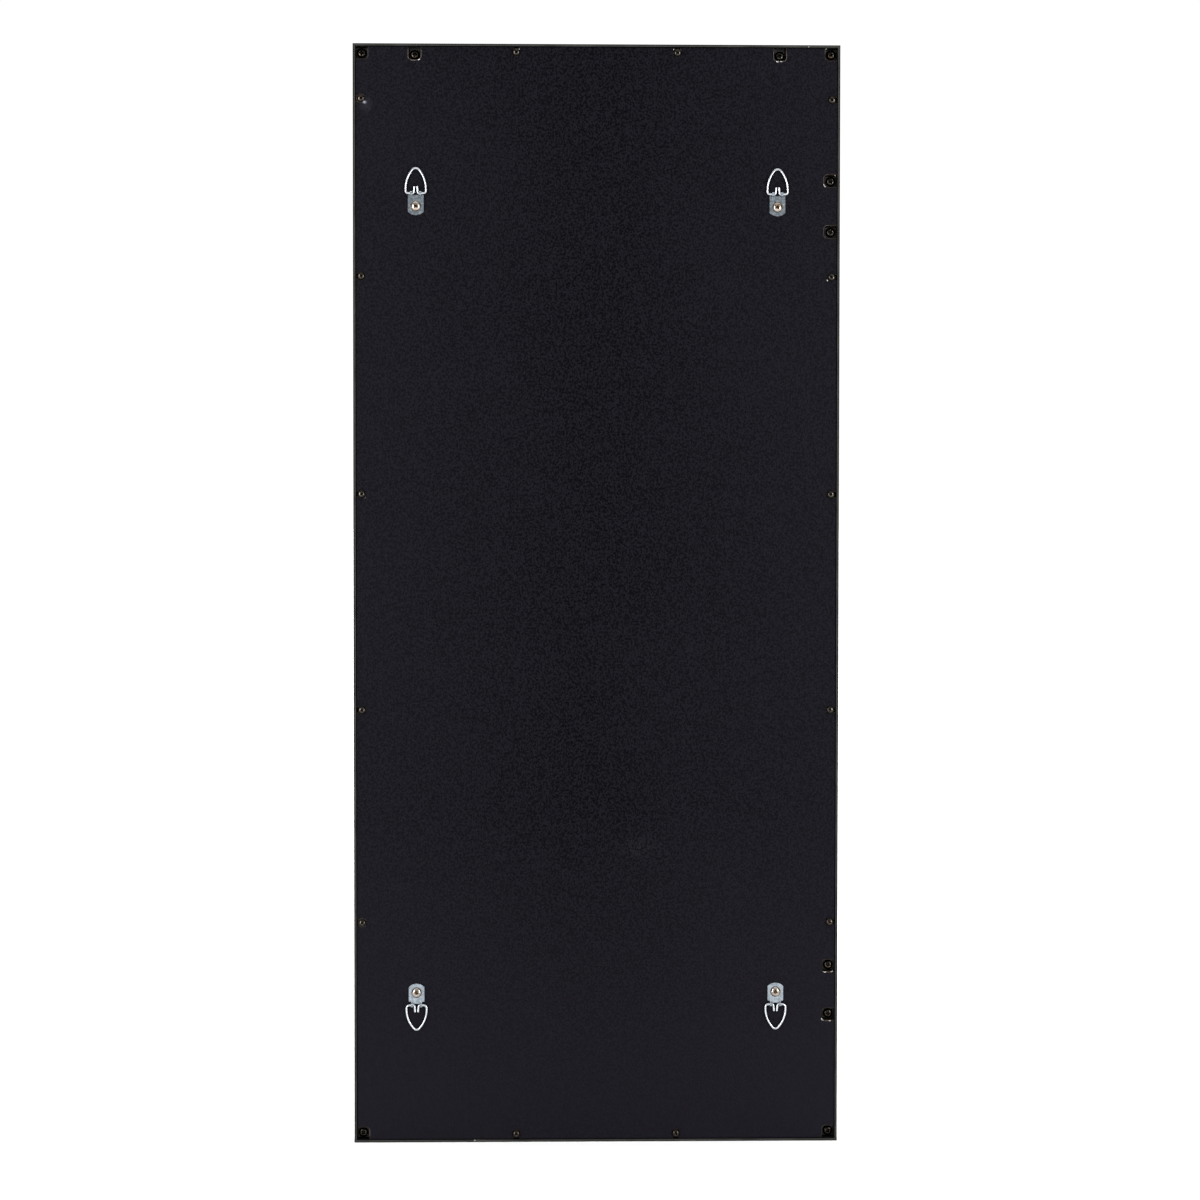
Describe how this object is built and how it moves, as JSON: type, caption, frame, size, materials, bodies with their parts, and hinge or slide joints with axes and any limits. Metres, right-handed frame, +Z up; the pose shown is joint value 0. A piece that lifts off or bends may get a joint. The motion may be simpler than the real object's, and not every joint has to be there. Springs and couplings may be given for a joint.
{
  "type": "window mirror",
  "caption": "Tall wall mirror in a black steel window frame with glazing bars over the glass, a screwed backing board and swinging ring hangers.",
  "frame": {"origin": "centre of the back, in the plane of the frame's rear rim", "axes": "+Z up along the mirror's height, +Y out of the back towards the wall, so the glass looks along -Y"},
  "size_m": [0.404, 0.0227, 0.914],
  "materials": {
    "frame_steel": "satin black powder coat",
    "sash_steel": "satin black powder coat",
    "foam_tape": "black foam",
    "edge_blocks": "black rubber",
    "mirror_glass": "silvered float glass",
    "board_core": "raw fibreboard",
    "board_paper": "black embossed paper",
    "screw_steel": "dull nickel plate",
    "hanger_screw": "bright nickel plate",
    "hanger_plate": "bright zinc plate",
    "hanger_wire": "bright zinc plate"
  },
  "bodies": {
    "mirror": {"backing_board": "board_core", "backing_paper": "board_paper", "board_screw_lugs": "frame_steel", "board_screws": "screw_steel", "cross_bar_1": "sash_steel", "cross_bar_2": "sash_steel", "cross_bar_3": "sash_steel", "cross_bar_4": "sash_steel", "frame_bottom_rail": "frame_steel", "frame_left_rail": "frame_steel", "frame_right_rail": "frame_steel", "frame_top_rail": "frame_steel", "glass_edge_blocks": "edge_blocks", "glass_tape_bottom": "foam_tape", "glass_tape_left": "foam_tape", "glass_tape_right": "foam_tape", "glass_tape_top": "foam_tape", "hanger_screws": "hanger_screw", "hanger_strap_lower_left": "hanger_plate", "hanger_strap_lower_right": "hanger_plate", "hanger_strap_upper_left": "hanger_plate", "hanger_strap_upper_right": "hanger_plate", "mirror_glass": "mirror_glass", "sash_bottom_rail": "sash_steel", "sash_ears": "sash_steel", "sash_left_stile": "sash_steel", "sash_right_stile": "sash_steel", "sash_screw_lugs": "frame_steel", "sash_screws": "screw_steel", "sash_top_rail": "sash_steel", "vertical_bar_left": "sash_steel", "vertical_bar_right": "sash_steel"},
    "ring_upper_left": {"hanger_ring_upper_left": "hanger_wire"},
    "ring_upper_right": {"hanger_ring_upper_right": "hanger_wire"},
    "ring_lower_left": {"hanger_ring_lower_left": "hanger_wire"},
    "ring_lower_right": {"hanger_ring_lower_right": "hanger_wire"}
  },
  "joints": [
    {"name": "ring_upper_left_swing", "type": "hinge", "parent": "mirror", "child": "ring_upper_left", "pos_m": [-0.15, 0.00075, 0.3335], "axis": [-1, 0, 0], "range_deg": [-2.5, 178]},
    {"name": "ring_upper_right_swing", "type": "hinge", "parent": "mirror", "child": "ring_upper_right", "pos_m": [0.15, 0.00075, 0.3335], "axis": [-1, 0, 0], "range_deg": [-2.5, 178]},
    {"name": "ring_lower_left_swing", "type": "hinge", "parent": "mirror", "child": "ring_lower_left", "pos_m": [-0.15, 0.00075, -0.3418], "axis": [1, 0, 0], "range_deg": [-2.5, 178]},
    {"name": "ring_lower_right_swing", "type": "hinge", "parent": "mirror", "child": "ring_lower_right", "pos_m": [0.15, 0.00075, -0.3418], "axis": [1, 0, 0], "range_deg": [-2.5, 178]}
  ]
}
